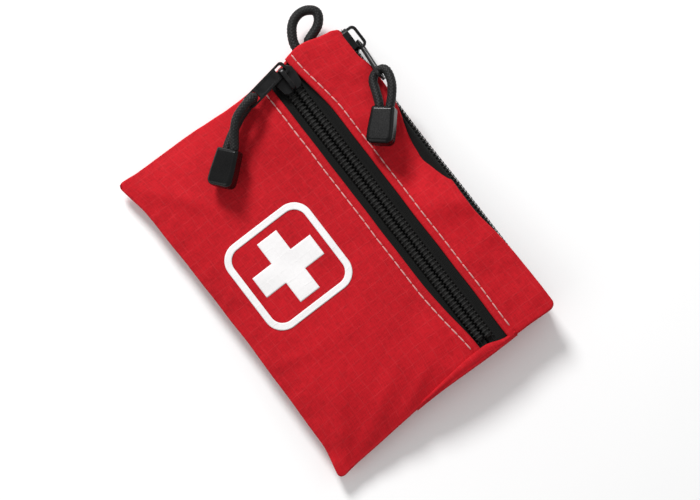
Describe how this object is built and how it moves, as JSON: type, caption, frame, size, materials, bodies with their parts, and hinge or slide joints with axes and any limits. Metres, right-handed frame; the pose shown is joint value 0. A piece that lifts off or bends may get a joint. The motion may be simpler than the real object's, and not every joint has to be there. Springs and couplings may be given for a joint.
{
  "type": "first aid kit",
  "caption": "Small flat zipped first aid pouch in ripstop cloth, with a front zip pocket, a top zip compartment, corded zip pulls, a seam loop and basic dressings inside.",
  "frame": {"origin": "middle of the flat back, on the surface the pouch lies on", "axes": "+X along both zips, from the closed slider end to the other side seam; +Y from the bottom seam to the top zip; +Z out of the front"},
  "size_m": [0.1617, 0.1162, 0.0286],
  "materials": {
    "red_ripstop": "red ripstop nylon with a fine square grid, slightly sheened",
    "lining": "thin dark lining cloth",
    "stitch_thread": "pale pink-white polyester thread",
    "white_print": "matt white screen print",
    "zip_tape": "black woven polyester tape",
    "zip_coil": "black nylon coil",
    "slider_black": "black enamelled zinc, semi-gloss",
    "cord_braid": "charcoal braided cord",
    "cord_end_black": "glossy black moulded plastic",
    "packet_film": "metallised film",
    "white_cotton": "white cotton gauze",
    "medical_tape": "off-white adhesive tape",
    "card": "brown card core",
    "glove_nitrile": "blue nitrile film",
    "tweezer_steel": "brushed stainless steel",
    "sachet_paper": "white sachet paper",
    "plaster_film": "skin-tone plaster film"
  },
  "bodies": {
    "pouch": {"front_lower_panel": "red_ripstop", "front_upper_panel": "red_ripstop", "back_panel": "red_ripstop", "pocket_divider": "lining", "left_side_fold": "red_ripstop", "right_side_fold": "red_ripstop", "lower_topstitch": "stitch_thread", "upper_topstitch": "stitch_thread", "emblem_print": "white_print", "front_zip_tape_lower": "zip_tape", "front_zip_tape_upper": "zip_tape", "front_zip_coil_lower": "zip_coil", "front_zip_coil_upper": "zip_coil", "top_zip_tape_front": "zip_tape", "top_zip_tape_back": "zip_tape", "top_zip_coil_front": "zip_coil", "top_zip_coil_back": "zip_coil", "hang_loop_tails": "cord_braid", "foil_blanket": "packet_film", "triangular_bandage": "white_cotton", "roller_bandage": "white_cotton", "tape_roll": "medical_tape", "tape_roll_core": "card", "gloves_pack": "glove_nitrile", "gauze_pads": "white_cotton", "tweezers": "tweezer_steel", "antiseptic_wipes": "sachet_paper", "adhesive_plasters": "plaster_film"},
    "front_slider": {"front_slider_body": "slider_black", "front_slider_bridge": "slider_black"},
    "front_tab": {"front_pull_tab": "slider_black"},
    "front_pull": {"front_pull_cord": "cord_braid", "front_cord_end_face": "cord_end_black", "front_cord_end_back": "cord_end_black", "front_cord_knot": "cord_braid"},
    "top_slider": {"top_slider_body": "slider_black", "top_slider_bridge": "slider_black"},
    "top_tab": {"top_pull_tab": "slider_black"},
    "top_pull": {"top_pull_cord": "cord_braid", "top_cord_end_face": "cord_end_black", "top_cord_end_back": "cord_end_black", "top_cord_knot": "cord_braid"},
    "hang_loop": {"hang_loop": "cord_braid"}
  },
  "joints": [
    {"name": "front_zip_slide", "type": "slide", "parent": "pouch", "child": "front_slider", "axis": [1, 0, 0], "range_m": [0, 0.128]},
    {"name": "front_tab_swing", "type": "hinge", "parent": "front_slider", "child": "front_tab", "pos_m": [-0.0702, 0.0248, 0.0189], "axis": [0, 0, 1], "range_deg": [-25, 30]},
    {"name": "front_pull_flip", "type": "hinge", "parent": "front_tab", "child": "front_pull", "pos_m": [-0.06644, 0.00582, 0.02355], "axis": [-0.981, -0.1942, 0], "range_deg": [0, 100]},
    {"name": "top_zip_slide", "type": "slide", "parent": "pouch", "child": "top_slider", "axis": [1, 0, 0], "range_m": [0, 0.126]},
    {"name": "top_tab_lift", "type": "hinge", "parent": "top_slider", "child": "top_tab", "pos_m": [-0.0594, 0.0585, 0.009], "axis": [-0.6005, -0.2556, 0.7577], "range_deg": [0, 18]},
    {"name": "top_pull_swing", "type": "hinge", "parent": "top_tab", "child": "top_pull", "pos_m": [-0.0435, 0.05539, 0.02055], "axis": [-0.6005, -0.2556, 0.7577], "range_deg": [0, 30]},
    {"name": "hang_loop_flex", "type": "hinge", "parent": "pouch", "child": "hang_loop", "pos_m": [-0.0742, 0.0389, 0.0096], "axis": [0, 1, 0], "range_deg": [-45, 45], "stiffness_Nm_per_rad": 0.002}
  ]
}
